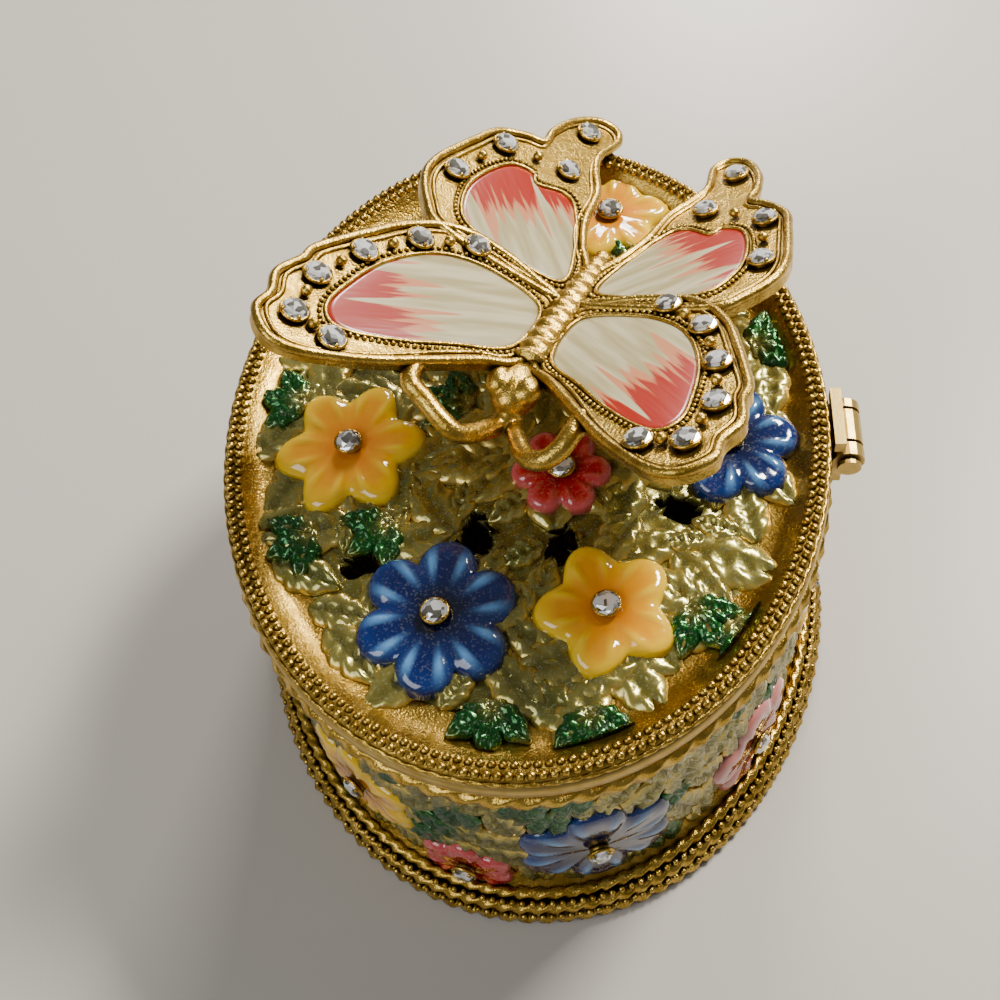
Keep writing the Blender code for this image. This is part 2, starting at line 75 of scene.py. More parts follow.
FLY_PLACE = (4.4, 7.8, 35.0)
FLY_TURN = math.radians(-22.3)
FLY_PITCH = math.radians(-17.4)
FLY_ROLL = math.radians(1.9)
WING_LIFT = math.radians(19.3)
BODY_R = 1.6
BODY_FRONT = -9.6
BODY_REAR = 7.4
BODY_RINGS = 11
FEELER_R = 0.82
FEELER_BEAD_R = 0.95
PLATE_HALF = 0.5  # half the thickness of a wing's plate
EDGE_STEPS = 260  # points round a wing
MELT_SIZE = 0.14  # size of the cells that melt the head into one casting

CRYSTAL_R = 1.1
COLLAR_R = 1.06
COLLAR_WIRE = 0.17
STONE_SINK = 0.05
BEAD = (3, 6)  # rings and sides of a bead that is repeated hundreds of times

LID_LEAVES = 170
GOLDEN_ANGLE = 2.39996  # radians from one leaf to the next, which spreads them evenly
LEAF_LONG = (2.9, 4.4)  # shortest and longest half length of a leaf on the lid
LEAF_SHAPE = 0.52  # half width over half length
LEAF_PUFF = 0.75
LEAF_GAP = 2.7  # how far a leaf's middle keeps from a hole's
LEAF_SPARE = 1.3
WALL_ROWS = (5.4, 9.4, 13.4, 17.4, 21.0)
WALL_LEAVES = 40  # leaves in one row round the wall
WALL_LEAF_LONG = (2.8, 3.9)
WALL_LEAF_PUFF = 0.62
FLOWER_LIFT = 0.5
FLOWER_TALL = 1.0
WALL_FLOWER_LIFT = 0.22
WALL_FLOWER_TALL = 0.85

CAMERA_PLACE = (0.00901, -0.070976, 0.133752)
CAMERA_RIGHT = (0.99593661, 0.02707584, -0.08589049)
CAMERA_UP = (0.02133129, 0.85566899, 0.51708371)
CAMERA_BACK = (0.0874943, -0.51681475, 0.8516145)
CAMERA_LENS = 54
SENSOR = 36
FLOOR_SIZE = 3.0
LAMPS = (
    ("key", (0.22, 0.2, 0.34), 0.1, 3.2, (1, 0.95, 0.86)),
    ("fill", (-0.3, -0.25, 0.4), 0.3, 1.2, (0.95, 0.97, 1)),
    ("strip", (0.05, 0.4, 0.22), 0.1, 1.6, (1, 0.96, 0.9)),
)  # name, place, size, power and colour

# x, y, radius, petals and turn of each flower on the lid
LID_FLOWERS = {
    "blue_front": (-6.5, -18.0, 6.7, 6, 20),
    "yellow_left": (-14.6, -2.0, 6.6, 6, 5),
    "yellow_front": (6.9, -17.6, 5.8, 5, 40),
    "red_middle": (3.3, -5.2, 4.2, 6, 0),
    "yellow_rear": (7.6, 23.2, 5.6, 6, 10),
    "blue_right": (17.2, -2.2, 5.8, 6, 12),
    "red_rear": (-9.6, 17.0, 4.6, 6, 8),
}

# x and y of each pierced hole
LID_HOLES = (
    (-3.6, -10.4), (-13, -12.6), (3.3, -11.6), (12.9, -8.2), (-4, -27), (-11, 7.6),
    (1.6, 18.4), (12, 8.6),
)

# angle round the oval, height, radius and petals of each flower on the wall
WALL_FLOWERS = {
    "blue_front": (-77, 11.2, 7.2, 6),
    "red_front": (-104, 5.6, 4.4, 6),
    "yellow_left": (-126, 12.6, 6.2, 6),
    "pink_right": (-40, 8.6, 6, 5),
    "pink_left": (-163, 14.4, 5, 5),
    "yellow_right": (-8, 9.4, 5.6, 6),
    "blue_right": (26, 12.4, 6.4, 6),
    "red_rear": (56, 8, 5, 5),
    "blue_rear": (90, 12, 6.8, 6),
    "yellow_rear": (124, 9.6, 6.2, 6),
    "pink_rear": (158, 11.6, 5.6, 5),
}

# x and y of each green leaf on the lid
GREEN_SPOTS = (
    (-19.5, 3.5), (-17.5, -10), (-11, -9.5), (-5, 2), (13.5, -17.5), (17, -19), (-2, -25.5),
    (5.5, -26), (20, 8), (9.5, 18),
)

# the right forewing's outline: out from the body, and back
FOREWING = [
    (0.4, -9.4), (3.2, -12.4), (6.6, -15.8), (9.8, -18.8), (12.6, -20.9), (15.2, -22.4),
    (17.3, -22.5), (19.2, -20.8), (19.2, -18.6), (20.0, -16.4), (19.3, -13.6), (19.2, -11.8),
    (17.7, -8.4), (16.6, -6.2), (15.2, -3.6), (12.9, -1.0), (10.4, 0.3), (7.6, 0.5),
    (4.2, 0.0), (0.4, -1.6),
]

# the right hindwing's outline, with its tail
HINDWING = [
    (0.4, -0.6), (6.0, -1.6), (12.8, -1.4), (15.2, 0.6), (16.8, 3.4), (17.0, 6.2), (16.2, 9.6),
    (15.6, 11.6), (14.6, 14.4), (12.4, 16.2), (10.6, 17.0), (10.6, 19.2), (9.8, 22.0),
    (8.1, 24.4), (6.2, 24.8), (5.2, 23.2), (5.8, 19.6), (5.1, 17.2), (3.8, 14.6), (3.1, 10.2),
    (1.8, 6.6), (0.4, 4.0),
]

# the pearl cell in the right forewing
FORE_CELL = [
    (2.0, -9.0), (6.0, -12.6), (9.0, -15.2), (12.2, -17.3), (14.2, -17.7), (15.3, -16.2),
    (15.2, -13.4), (14.4, -9.4), (12.6, -5.8), (10.2, -3.5), (6.6, -2.4), (2.0, -3.2),
]

# the pearl cell in the right hindwing
HIND_CELL = [
    (2.0, 1.0), (8.0, 0.4), (11.6, 1.2), (13.1, 4.6), (12.9, 8.0), (11.6, 11.2), (9.6, 11.9),
    (8.7, 10.8), (6.3, 11.8), (4.6, 10.6), (2.6, 6.0),
]

# middle line of each feeler in the body's frame
LEFT_FEELER = [
    (-0.2, -13.2, -2.8), (-0.5, -16.4, -1.4), (-1.7, -18.7, -0.5), (-3.1, -18.8, 0.3),
    (-5.0, -18.1, 1.2), (-6.4, -17.6, 1.9), (-6.9, -15.9, 2.2),
]

RIGHT_FEELER = [
    (0.7, -13.4, -2.6), (2.2, -16.4, -1.4), (3.9, -18.7, -0.6), (5.4, -19.1, 0.2),
    (6.3, -18.3, 1.1), (6.6, -17.4, 1.8), (6.9, -15.9, 2.2),
]

# middle and half sizes of the forms that make the head
HEAD = [
    ((0.03, -11.55, -0.62), (1.93, 2.87, 1.83)), ((1.22, -12.3, 0.17), (1.1, 1.42, 1.1)),
    ((-1.18, -12.35, 0.22), (1.1, 1.4, 1.13)), ((0.2, -13.4, -2.07), (1.2, 1.7, 1.4)),
]

RANDOM = np.random.default_rng(7)


# ---------------------------------------------------------------- surfaces as whole arrays
class Surface:
    """Points, quads, triangles and painted values of one or more closed shells."""

    def __init__(self, points, quads, triangles, paint):
        self.points = points
        self.quads = quads
        self.triangles = triangles
        self.paint = paint

    def moved(self, change):
        """The same shells with every point sent through change, an array function."""
        return Surface(change(self.points), self.quads, self.triangles, self.paint)

    def placed(self, matrix):
        """The same shells turned and moved by a 4 x 4 matrix."""
        matrix = np.array(matrix, float)
        return self.moved(lambda points: points @ matrix[:3, :3].T + matrix[:3, 3])


def join(parts):
    """Several shells as one surface; a value that one of them lacks is zero there."""
    parts = list(parts)
    names = sorted({name for part in parts for name in part.paint})
    starts = np.cumsum([0] + [len(part.points) for part in parts])
    return Surface(
        np.concatenate([part.points for part in parts]),
        np.concatenate([part.quads + start for part, start in zip(parts, starts)]),
        np.concatenate([part.triangles + start for part, start in zip(parts, starts)]),
        {name: np.concatenate([part.paint.get(name, np.zeros(len(part.points))) for part in parts])
         for name in names},
    )


def net(points, closed=True, poles=(False, False), **paint):
    """A grid of rows and columns as a surface: columns wrap when closed, an end row may end in a pole."""
    rows, columns = points.shape[:2]
    index = np.arange(rows * columns).reshape(rows, columns)
    right = np.roll(index, -1, 1) if closed else index[:, 1:]
    left = index if closed else index[:, :-1]
    quads = np.stack([left[:-1], right[:-1], right[1:], left[1:]], -1).reshape(-1, 4)
    flat = points.reshape(-1, 3)
    paint = {name: np.broadcast_to(value, (rows, columns)).reshape(-1) for name, value in paint.items()}
    triangles = []
    for wanted, row, turn in ((poles[0], 0, 1), (poles[1], rows - 1, -1)):
        if wanted:
            pole = np.full(left.shape[1], len(flat))
            triangles.append(np.stack([left[row], pole, right[row]], -1)[:, ::turn])
            flat = np.concatenate([flat, points[row].mean(0, keepdims=True)])
            paint = {name: np.append(value, value[index[row]].mean()) for name, value in paint.items()}
    triangles = np.concatenate(triangles) if triangles else np.empty((0, 3), int)
    return Surface(flat, quads, triangles, paint)


def copies(shape, centres, sizes=1.0, turns=None, **paint):
    """One small shell repeated: its points times sizes, turned by turns and moved to centres."""
    centres = np.asarray(centres, float)
    count = len(centres)
    sizes = np.broadcast_to(sizes, count)[:, None, None]
    points = shape.points[None] * sizes
    if turns is not None:
        points = np.einsum("kij,knj->kni", turns, points)
    points = points + centres[:, None]
    step = (np.arange(count) * len(shape.points))[:, None, None]
    values = {name: np.tile(value, count) for name, value in shape.paint.items()}
    for name, value in paint.items():
        values[name] = np.repeat(np.broadcast_to(value, count), len(shape.points))
    return Surface(
        points.reshape(-1, 3),
        (shape.quads[None] + step).reshape(-1, 4),
        (shape.triangles[None] + step).reshape(-1, 3),
        values,
    )


def ball(rings=5, sides=8, flat=1.0):
    """A unit ball of rings of latitude, its height times flat."""
    high = np.linspace(-math.pi / 2, math.pi / 2, rings + 2)[1:-1, None]
    around = np.linspace(0, 2 * math.pi, sides, endpoint=False)[None]
    points = np.stack([np.cos(high) * np.cos(around), np.cos(high) * np.sin(around),
                       flat * np.sin(high) + 0 * around], -1)
    made = net(points, poles=(True, True))
    made.points[-2:, 2] = (-flat, flat)
    return made


def curve(points, count, closed=False):
    """A Catmull-Rom curve through the points: count samples, spaced evenly along its length."""
    points = np.asarray(points, float)
    if closed:
        padded = np.concatenate([points[-1:], points, points[:2]])
    else:
        padded = np.concatenate([2 * points[:1] - points[1:2], points, 2 * points[-1:] - points[-2:-1]])
    spans = len(padded) - 3

    def at(t):
        span = np.clip(t.astype(int), 0, spans - 1)
        u = (t - span)[:, None]
        a, b, c, d = (padded[span + k] for k in range(4))
        bend = (2 * a - 5 * b + 4 * c - d) * u**2 + (3 * b - a - 3 * c + d) * u**3
        return 0.5 * (2 * b + (c - a) * u + bend)

    fine = np.linspace(0, spans, spans * 40 + 1)
    dense = at(fine)
    length = np.append(0, np.cumsum(np.linalg.norm(np.diff(dense, axis=0), axis=1)))
    wanted = np.linspace(0, length[-1], count, endpoint=not closed)
    steps = np.interp(wanted, length, fine)
    return at(steps), steps


def unit(vectors):
    """The same directions, each one long."""
    return vectors / np.maximum(np.linalg.norm(vectors, axis=-1, keepdims=True), 1e-9)


def tube(path, radius, sides=12, closed=False, up=(0, 0, 1), section=None):
    """A round section carried along a path: radius is per point, and section(angle, share) scales it."""
    ahead = np.roll(path, -1, 0) - np.roll(path, 1, 0)
    if not closed:
        ahead[0] = path[1] - path[0]
        ahead[-1] = path[-1] - path[-2]
    along = unit(ahead)
    side = unit(np.cross(along, np.array(up, float)))
    top = np.cross(side, along)
    angle = np.linspace(0, 2 * math.pi, sides, endpoint=False)[None, :, None]
    share = np.linspace(0, 1, len(path), endpoint=not closed)[:, None, None]
    size = np.broadcast_to(radius, len(path))[:, None, None]
    if section is not None:
        size = size * section(angle, share)
    points = path[:, None] + size * (side[:, None] * np.cos(angle) + top[:, None] * np.sin(angle))
    if closed:
        return net(np.concatenate([points, points[:1]]))
    return net(points, poles=(True, True))


def oval(radius, angle, height):
    """Points on the oval: radius along X, radius times the stretch along Y."""
    radius, angle, height = np.broadcast_arrays(radius, angle, height)
    return np.stack([radius * np.cos(angle), radius * STRETCH * np.sin(angle), height], -1)


TURN = np.linspace(-math.pi, math.pi, 4001)
ARC = np.append(0, np.cumsum(np.linalg.norm(np.diff(oval(WALL_OUT, TURN, 0.0), axis=0), axis=1)))


def even_angles(count):
    """Angles of the oval whose points lie evenly spaced along the wall."""
    return np.interp(np.linspace(0, ARC[-1], count, endpoint=False), ARC, TURN)


def oval_out(angle):
    """The direction straight out of the oval at each angle."""
    return unit(np.stack([np.cos(angle) * STRETCH, np.sin(angle), 0 * angle], -1))


def turned(profile, columns=240, closed=True, **paint):
    """A profile of (radius, height) points carried round the oval; a closed profile makes a ring."""
    profile = np.asarray(profile, float)
    if closed:
        profile = np.concatenate([profile, profile[:1]])
    angle = even_angles(columns)
    points = oval(profile[:, None, 0], angle[None], profile[:, None, 1])
    return net(points, poles=(not closed, not closed), **paint)


def lid_surface(x, y):
    """Height of the lid's domed floor, which falls with the square of the oval distance."""
    share = np.hypot(x / HALF_X, y / HALF_Y) * HALF_X / DISH_IN
    return LID_FLOOR_EDGE + LID_DOME * (1 - np.minimum(share, 1) ** 2)


def on_lid(x, y, turn, lift=0.0):
    """Sends a flat ornament to its place on the domed lid, turned about its own middle."""
    turn = math.radians(turn)

    def change(points):
        along = x + points[:, 0] * math.cos(turn) - points[:, 1] * math.sin(turn)
        across = y + points[:, 0] * math.sin(turn) + points[:, 1] * math.cos(turn)
        share = np.hypot(along / DISH_OUT, across / (DISH_OUT * STRETCH))
        shrink = np.minimum(1.0, LEAVES_STAY / np.maximum(share, 1e-6))
        along, across = along * shrink, across * shrink
        return np.stack([along, across, lid_surface(along, across) + points[:, 2] + lift], -1)

    return change


def on_wall(angle, height, turn, lift=0.0):
    """Wraps a flat ornament round the wall: its X along the wall, its Y up and its Z straight out."""
    turn = math.radians(turn)
    middle = np.interp(math.radians((angle + 180) % 360 - 180), TURN, ARC)

    def change(points):
        along = middle + points[:, 0] * math.cos(turn) - points[:, 1] * math.sin(turn)
        up = height + points[:, 0] * math.sin(turn) + points[:, 1] * math.cos(turn)
        place = np.interp(along % ARC[-1], ARC, TURN)
        up = np.clip(up, FOOT_TOP - 1.2, RIM_BOTTOM + 0.3)
        return oval(WALL_OUT, place, up) + oval_out(place) * (points[:, 2] + lift)[:, None]

    return change


def make_piece(name, surface, body, material, replaces=(), smooth=True):
    """A surface as a mesh object in metres that rides on a body, with its painted values as attributes."""
    mesh = bpy.data.meshes.new(name)
    corners = np.concatenate([surface.quads.reshape(-1), surface.triangles.reshape(-1)])
    sizes = np.repeat([4, 3], [len(surface.quads), len(surface.triangles)])
    mesh.vertices.add(len(surface.points))
    mesh.vertices.foreach_set("co", (surface.points * MM).astype(np.float32).reshape(-1))
    mesh.loops.add(len(corners))
    mesh.loops.foreach_set("vertex_index", corners.astype(np.int32))
    mesh.polygons.add(len(sizes))
    mesh.polygons.foreach_set("loop_start", np.append(0, np.cumsum(sizes)[:-1]).astype(np.int32))
    mesh.update(calc_edges=True)
    for key, value in surface.paint.items():
        mesh.attributes.new(key, "FLOAT", "POINT").data.foreach_set("value", value.astype(np.float32))
    work = bmesh.new()
    work.from_mesh(mesh)
    bmesh.ops.recalc_face_normals(work, faces=work.faces)
    work.to_mesh(mesh)
    work.free()
    mesh.polygons.foreach_set("use_smooth", np.full(len(mesh.polygons), smooth))
    mesh.materials.append(material)
    piece = bpy.data.objects.new(name, mesh)
    bpy.context.scene.collection.objects.link(piece)
    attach(piece, body)
    if replaces:
        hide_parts(*replaces)
    return piece


# ---------------------------------------------------------------- materials
class Value:
    """A number socket that Python's operators work on, each adding a Math node."""

    def __init__(self, paint, socket):
        self.paint = paint
        self.socket = socket

    def _math(self, operation, *others):
        node = self.paint.node("ShaderNodeMath", {"operation": operation}, dict(enumerate(others)))
        return Value(self.paint, node.outputs[0])

    def __add__(self, other):
        return self._math("ADD", self, other)

    def __radd__(self, other):
        return self._math("ADD", other, self)

    def __sub__(self, other):
        return self._math("SUBTRACT", self, other)

    def __rsub__(self, other):
        return self._math("SUBTRACT", other, self)

    def __mul__(self, other):
        return self._math("MULTIPLY", self, other)

    def __rmul__(self, other):
        return self._math("MULTIPLY", other, self)

    def step(self, low, high):
        """0 below low, 1 above high, smooth between."""
        sockets = {"Value": self, "From Min": low, "From Max": high}
        node = self.paint.node("ShaderNodeMapRange", {"interpolation_type": "SMOOTHSTEP"}, sockets)
        return Value(self.paint, node.outputs[0])


class Paint:
    """A material being mixed: one Principled shader, and the nodes that feed it."""

    def __init__(self, name, **sockets):
        self.material = bpy.data.materials.new(name)
        self.material.use_nodes = True
        self.tree = self.material.node_tree
        self.shader = self.tree.nodes["Principled BSDF"]
        self.set(**sockets)

    def set(self, **sockets):
        """Sets or links the shader's sockets, named with _ for a space."""
        for name, value in sockets.items():
            self.feed(self.shader.inputs[name.replace("_", " ")], value)

    def feed(self, socket, value):
        value = value.socket if isinstance(value, Value) else value
        if isinstance(value, bpy.types.NodeSocket):
            self.tree.links.new(value, socket)
        elif isinstance(value, tuple) and len(value) == 3 and socket.type == "RGBA":
            socket.default_value = (*value, 1.0)
        else:
            socket.default_value = value

    def node(self, kind, settings=None, sockets=None):
        """Any node: its type, its settings, then the values or links of its sockets."""
        node = self.tree.nodes.new(kind)
        for name, value in (settings or {}).items():
            setattr(node, name, value)
        for name, value in (sockets or {}).items():
            self.feed(node.inputs[name], value)
        return node

    def place(self):
        """Object coordinates."""
        return self.node("ShaderNodeTexCoord").outputs["Object"]

    def value(self, name):
        """A value painted on the mesh."""
        return Value(self, self.node("ShaderNodeAttribute", {"attribute_name": name}).outputs["Fac"])

    def noise(self, scale, detail=3.0, vector=None, rough=0.5):
        """Cloudy noise, scale in waves per metre."""
        sockets = {"Vector": vector or self.place(), "Scale": scale, "Detail": detail, "Roughness": rough}
        return Value(self, self.node("ShaderNodeTexNoise", None, sockets).outputs["Fac"])

    def flakes(self, scale):
        """Glitter: a random value for each little cell, scale in cells per metre."""
        node = self.node("ShaderNodeTexVoronoi", None, {"Vector": self.place(), "Scale": scale})
        split = self.node("ShaderNodeSeparateColor", None, {"Color": node.outputs["Color"]})
        return Value(self, split.outputs[0])

    def occlusion_shade(self, distance):
        """Painted shade mask from ambient occlusion: 0 deep in crevices, 1 in the open."""
        node = self.node("ShaderNodeAmbientOcclusion", {"samples": 6}, {"Distance": distance})
        return Value(self, node.outputs["AO"])

    def vector(self, x, y, z=0.0):
        """Three numbers as one vector."""
        return self.node("ShaderNodeCombineXYZ", None, {0: x, 1: y, 2: z}).outputs[0]

    def mix(self, share, first, second):
        """From the first colour to the second."""
        node = self.node("ShaderNodeMix", {"data_type": "RGBA"})
        self.feed(node.inputs[0], share)
        self.feed(node.inputs[6], first)
        self.feed(node.inputs[7], second)
        return node.outputs[2]

    def bump(self, height, strength, distance):
        """Fine relief on the shader's normal."""
        sockets = {"Height": height, "Strength": strength, "Distance": distance}
        self.set(Normal=self.node("ShaderNodeBump", None, sockets).outputs[0])


def gold(name, bright, dark, crevice_shade, rough, bump, shade_distance=0.7 * MM):
    """Antique gold: bright where it is rubbed, darkened to a near-black brown in its crevices by painted
    shade from an ambient occlusion mask, with a cast skin.
    """
    paint = Paint(name, Metallic=1.0)
    cloud = paint.noise(700.0, 4.0)
    skin = paint.noise(5200.0, 3.0)
    # painted shade: the ambient occlusion mask darkens the base colour to the dark crevice colour in
    # crevices and recesses
    unshaded = paint.occlusion_shade(shade_distance).step(0.3, 0.95)
    colour = paint.mix(cloud.step(0.35, 0.7), bright, dark)
    paint.set(Base_Color=paint.mix(unshaded, crevice_shade, colour))
    paint.set(Roughness=rough + cloud * 0.16 + skin * 0.08 + (1 - unshaded) * 0.2)
    paint.bump(skin + paint.noise(2100.0, 2.0) * 0.8, bump, 0.00012)
    return paint.material


def enamel(name, stops, rim, glitter=0.0, metal=0.0, rough=0.12):
    """Fired enamel under gloss: colours from the middle out, rim on the ridges, with a little glitter."""
    coat = 0.8 - metal * 0.6
    paint = Paint(name, Coat_Weight=coat, Coat_Roughness=0.05, Metallic=metal, Roughness=rough)
    share = paint.value("rho") + (paint.noise(900.0, 3.0) - 0.5) * 0.3
    colour = stops[0][1]
    for (low, _), (high, next_colour) in zip(stops[:-1], stops[1:]):
        colour = paint.mix(share.step(low, high), colour, next_colour)
    colour = paint.mix(paint.value("ridge"), colour, rim)
    if glitter:
        sparkle = paint.flakes(7000.0).step(0.75, 1.0) * glitter
        colour = paint.mix(sparkle, colour, (0.8, 0.82, 0.7))
    paint.set(Base_Color=colour)
    paint.bump(paint.noise(1500.0, 2.0), 0.15, 0.0002)
    return paint.material


# the third colour of each gold is the painted shade in its crevices
GOLD = gold("antique_gold", (0.7, 0.46, 0.09), (0.4, 0.24, 0.03), (0.03, 0.012, 0.002), 0.15, 0.45)
SATIN = gold("satin_gold", (0.6, 0.43, 0.14), (0.5, 0.34, 0.09), (0.16, 0.08, 0.015), 0.3, 0.12)
LEAF = enamel(
    "leaf_enamel",
    ((0, (0.2, 0.18, 0.035)), (0.6, (0.34, 0.3, 0.07)), (0.95, (0.6, 0.43, 0.08))),
    rim=(0.003, 0.09, 0.01), glitter=0.2, metal=0.7, rough=0.24,
)
BLUE = enamel(
    "blue_enamel",
    ((0.1, (0.0005, 0.002, 0.015)), (0.6, (0.0005, 0.008, 0.08)), (1.0, (0.001, 0.022, 0.15))),
    rim=(0.14, 0.38, 0.75), glitter=0.06,
)
YELLOW = enamel(
    "yellow_enamel",
    ((0.1, (0.7, 0.19, 0.0)), (0.6, (0.85, 0.34, 0.0)), (1.0, (0.95, 0.6, 0.0))),
    rim=(1.0, 0.68, 0.02),
)
RED = enamel(
    "red_enamel",
    ((0.1, (0.25, 0.002, 0.006)), (0.7, (0.5, 0.006, 0.012)), (1.0, (0.65, 0.1, 0.1))),
    rim=(0.6, 0.08, 0.07), glitter=0.1,
)
PINK = enamel(
    "pink_enamel",
    ((0.1, (0.3, 0.005, 0.02)), (0.6, (0.5, 0.04, 0.06)), (1.0, (0.6, 0.22, 0.2))),
    rim=(0.7, 0.35, 0.3),
)
ENAMELS = {"blue": BLUE, "yellow": YELLOW, "red": RED, "pink": PINK}


def crystal():
    """Foil-backed crystal with painted reflections: random cells painted white as bright facets and dark
    grey as darker ones between them.
    """
    paint = Paint("crystal", Metallic=0.45, Roughness=0.05, Coat_Weight=1.0)
    # painted reflection: random Voronoi cells are painted white and dark grey to stand for bright and dark
    # facets
    paint.set(Base_Color=paint.mix(paint.flakes(1900.0).step(0.2, 0.6), (0.16, 0.15, 0.13), (1.0, 1.0, 1.0)))
    return paint.material


def pearl():
    """Cream pearl with an orange-red flame that runs from the wing's outer end towards its root."""
    paint = Paint("pearl_enamel", Roughness=0.3, Coat_Weight=0.35, Coat_Roughness=0.1)
    reach, fan = paint.value("reach"), paint.value("fan")
    streak = paint.noise(1.0, 2.0, paint.vector(reach * 1.6, fan * 8.0))
    finger = paint.noise(1.0, 1.0, paint.vector(reach * 0.7 + 3.0, fan * 9.0))
    fine = paint.noise(1.0, 3.0, paint.vector(reach * 3.0 + 7.0, fan * 22.0))
    flame = (reach + (finger - 0.5) * 1.3 + (fine - 0.5) * 0.12).step(0.6, 0.66)
    pale = (fine + (0.72 - reach) * 1.4).step(0.56, 0.7)
    cream = paint.mix(streak.step(0.35, 0.65), (0.34, 0.285, 0.13), (0.52, 0.46, 0.28))
    red = paint.mix(pale, (0.33, 0.01, 0.0), (0.52, 0.2, 0.09))
    paint.set(Base_Color=paint.mix(flame, cream, red))
    paint.bump(streak + fine * 0.4, 0.2, 0.0002)
    return paint.material


def flower(radius, petals, tall, pointed):
    """A lobed dome: its outline swells at each petal, which has two raised ridges."""
    rho = np.linspace(0.02, 1, 16)[:, None]
    angle = np.linspace(0, 2 * math.pi, petals * 14, endpoint=False)[None]
    lobe = np.abs(np.cos(petals * angle / 2))
    edge = radius * (0.74 + 0.28 * lobe ** (1.5 if pointed else 0.7))
    beside = (np.abs(np.sin(petals * angle / 2)) - 0.72) / 0.13
    ridge = np.exp(-(beside**2)) * np.exp(-(((rho - 0.7) / 0.17) ** 2))
    high = tall * (0.75 + 0.5 * rho**1.5) * (1 - rho**7) ** 0.5 + 0.27 * ridge - 0.22 * (1 - lobe) * rho
    top = np.stack([edge * rho * np.cos(angle), edge * rho * np.sin(angle), high], -1)
    under = top[::-1][4:] * (1, 1, 0) - (0, 0, 0.3)
    paint = {"rho": np.concatenate([rho + 0 * angle, rho[::-1][4:] + 0 * angle]),
             "ridge": np.concatenate([ridge, 0 * ridge[4:]])}
    return net(np.concatenate([top, under]), poles=(True, True), **paint)


def leaf(long, wide, tall, green):
    """A puffed leaf: a scalloped outline, a sunk midrib and slanting side veins; green paints its tip."""
    along = np.linspace(0, 1, 22)[:, None]
    around = np.linspace(0, 2 * math.pi, 20, endpoint=False)[None]
    across = np.cos(around)
    half = wide * np.sin(math.pi * np.clip(along, 0.02, 0.98) ** 0.8) ** 0.7
    half = half * (1 + 0.16 * np.abs(np.sin(3.5 * math.pi * along)))
    puff = np.sin(around) * tall * np.sin(math.pi * np.clip(along, 0.02, 0.98)) ** 0.4
    vein = 0.3 * np.cos(2 * math.pi * (4.5 * along - 1.1 * np.abs(across))) * (np.sin(around) > 0)
    puff = puff * (1 + vein - 0.7 * np.exp(-((across / 0.2) ** 2)))
    points = np.stack([long * (2 * along - 1) + 0 * around, half * across, puff], -1)
    patch = green * np.exp(-(((along - 0.6) / 0.42) ** 4)) + 0 * around
    return net(points, poles=(True, True), rho=np.abs(across) + 0 * along, ridge=patch)


def make_flowers():
    """Every flower of the lid and the wall, each its own piece."""
    for name, (x, y, radius, petals, turn) in LID_FLOWERS.items():
        kind = name.split("_")[0]
        shape = flower(radius, petals, FLOWER_TALL, kind == "yellow").moved(on_lid(x, y, turn, FLOWER_LIFT))
        make_piece(f"lid_flower_{name}", shape, "lid", ENAMELS[kind])
    for name, (angle, height, radius, petals) in WALL_FLOWERS.items():
        kind = name.split("_")[0]
        shape = flower(radius, petals, WALL_FLOWER_TALL, kind == "yellow")
        shape = shape.moved(on_wall(angle, height, 90, WALL_FLOWER_LIFT))
        make_piece(f"wall_flower_{name}", shape, "base", ENAMELS[kind])


def make_leaves():
    """Overlapping leaves on the lid, off its holes, and on the wall, and three-lobed green ones on top."""
    leaves = []
    for step in range(LID_LEAVES):
        away = DISH_IN * math.sqrt((step + 0.5) / LID_LEAVES)
        x = away * math.cos(GOLDEN_ANGLE * step)
        y = away * STRETCH * math.sin(GOLDEN_ANGLE * step)
        turn = RANDOM.uniform(0, 360)
        long = RANDOM.uniform(*LEAF_LONG)
        gap = min(math.hypot(x - hole_x, y - hole_y) for hole_x, hole_y in LID_HOLES)
        green = 0.25 * float(RANDOM.uniform() > 0.8)
        if gap > LEAF_GAP:
            long = min(long, gap - LEAF_SPARE)
            shape = leaf(long, long * LEAF_SHAPE, LEAF_PUFF, green)
            leaves.append(shape.moved(on_lid(x, y, turn, RANDOM.uniform(0, 0.3))))
    lobe = leaf(2.4, 1.25, 0.85, 1.0)
    for x, y in GREEN_SPOTS:
        outward = math.degrees(math.atan2(y, x))
        for turn in (outward - 52, outward, outward + 52):
            lobe_x = x + 1.7 * math.cos(math.radians(turn))
            lobe_y = y + 1.7 * math.sin(math.radians(turn))
            leaves.append(lobe.moved(on_lid(lobe_x, lobe_y, turn, 0.5)))
    make_piece("lid_leaves", join(leaves), "lid", LEAF)
    leaves = []
    for row, height in enumerate(WALL_ROWS):
        for step in range(WALL_LEAVES):
            angle = 360 / WALL_LEAVES * (step + 0.5 * (row % 2)) - 180
            long = RANDOM.uniform(*WALL_LEAF_LONG)
            shape = leaf(long, long * LEAF_SHAPE, WALL_LEAF_PUFF, float(RANDOM.uniform() > 0.8))
            leaves.append(shape.moved(on_wall(angle, height, RANDOM.uniform(20, 160), 0.1)))
    make_piece("wall_leaves", join(leaves), "base", LEAF)


def rope(radius, height, thick, twists, waves=3):
    """A twisted cord round the oval: a lobed section that turns steadily as it goes."""

    def strands(angle, share):
        return 1 + 0.24 * np.cos(waves * angle - 2 * math.pi * twists * share)

    return tube(oval(radius, even_angles(900), height), thick, 10, True, section=strands)


def bead_row(radius, height, size, count):
    """A row of little beads round the oval."""
    return copies(ball(*BEAD), oval(radius, even_angles(count), height), size)


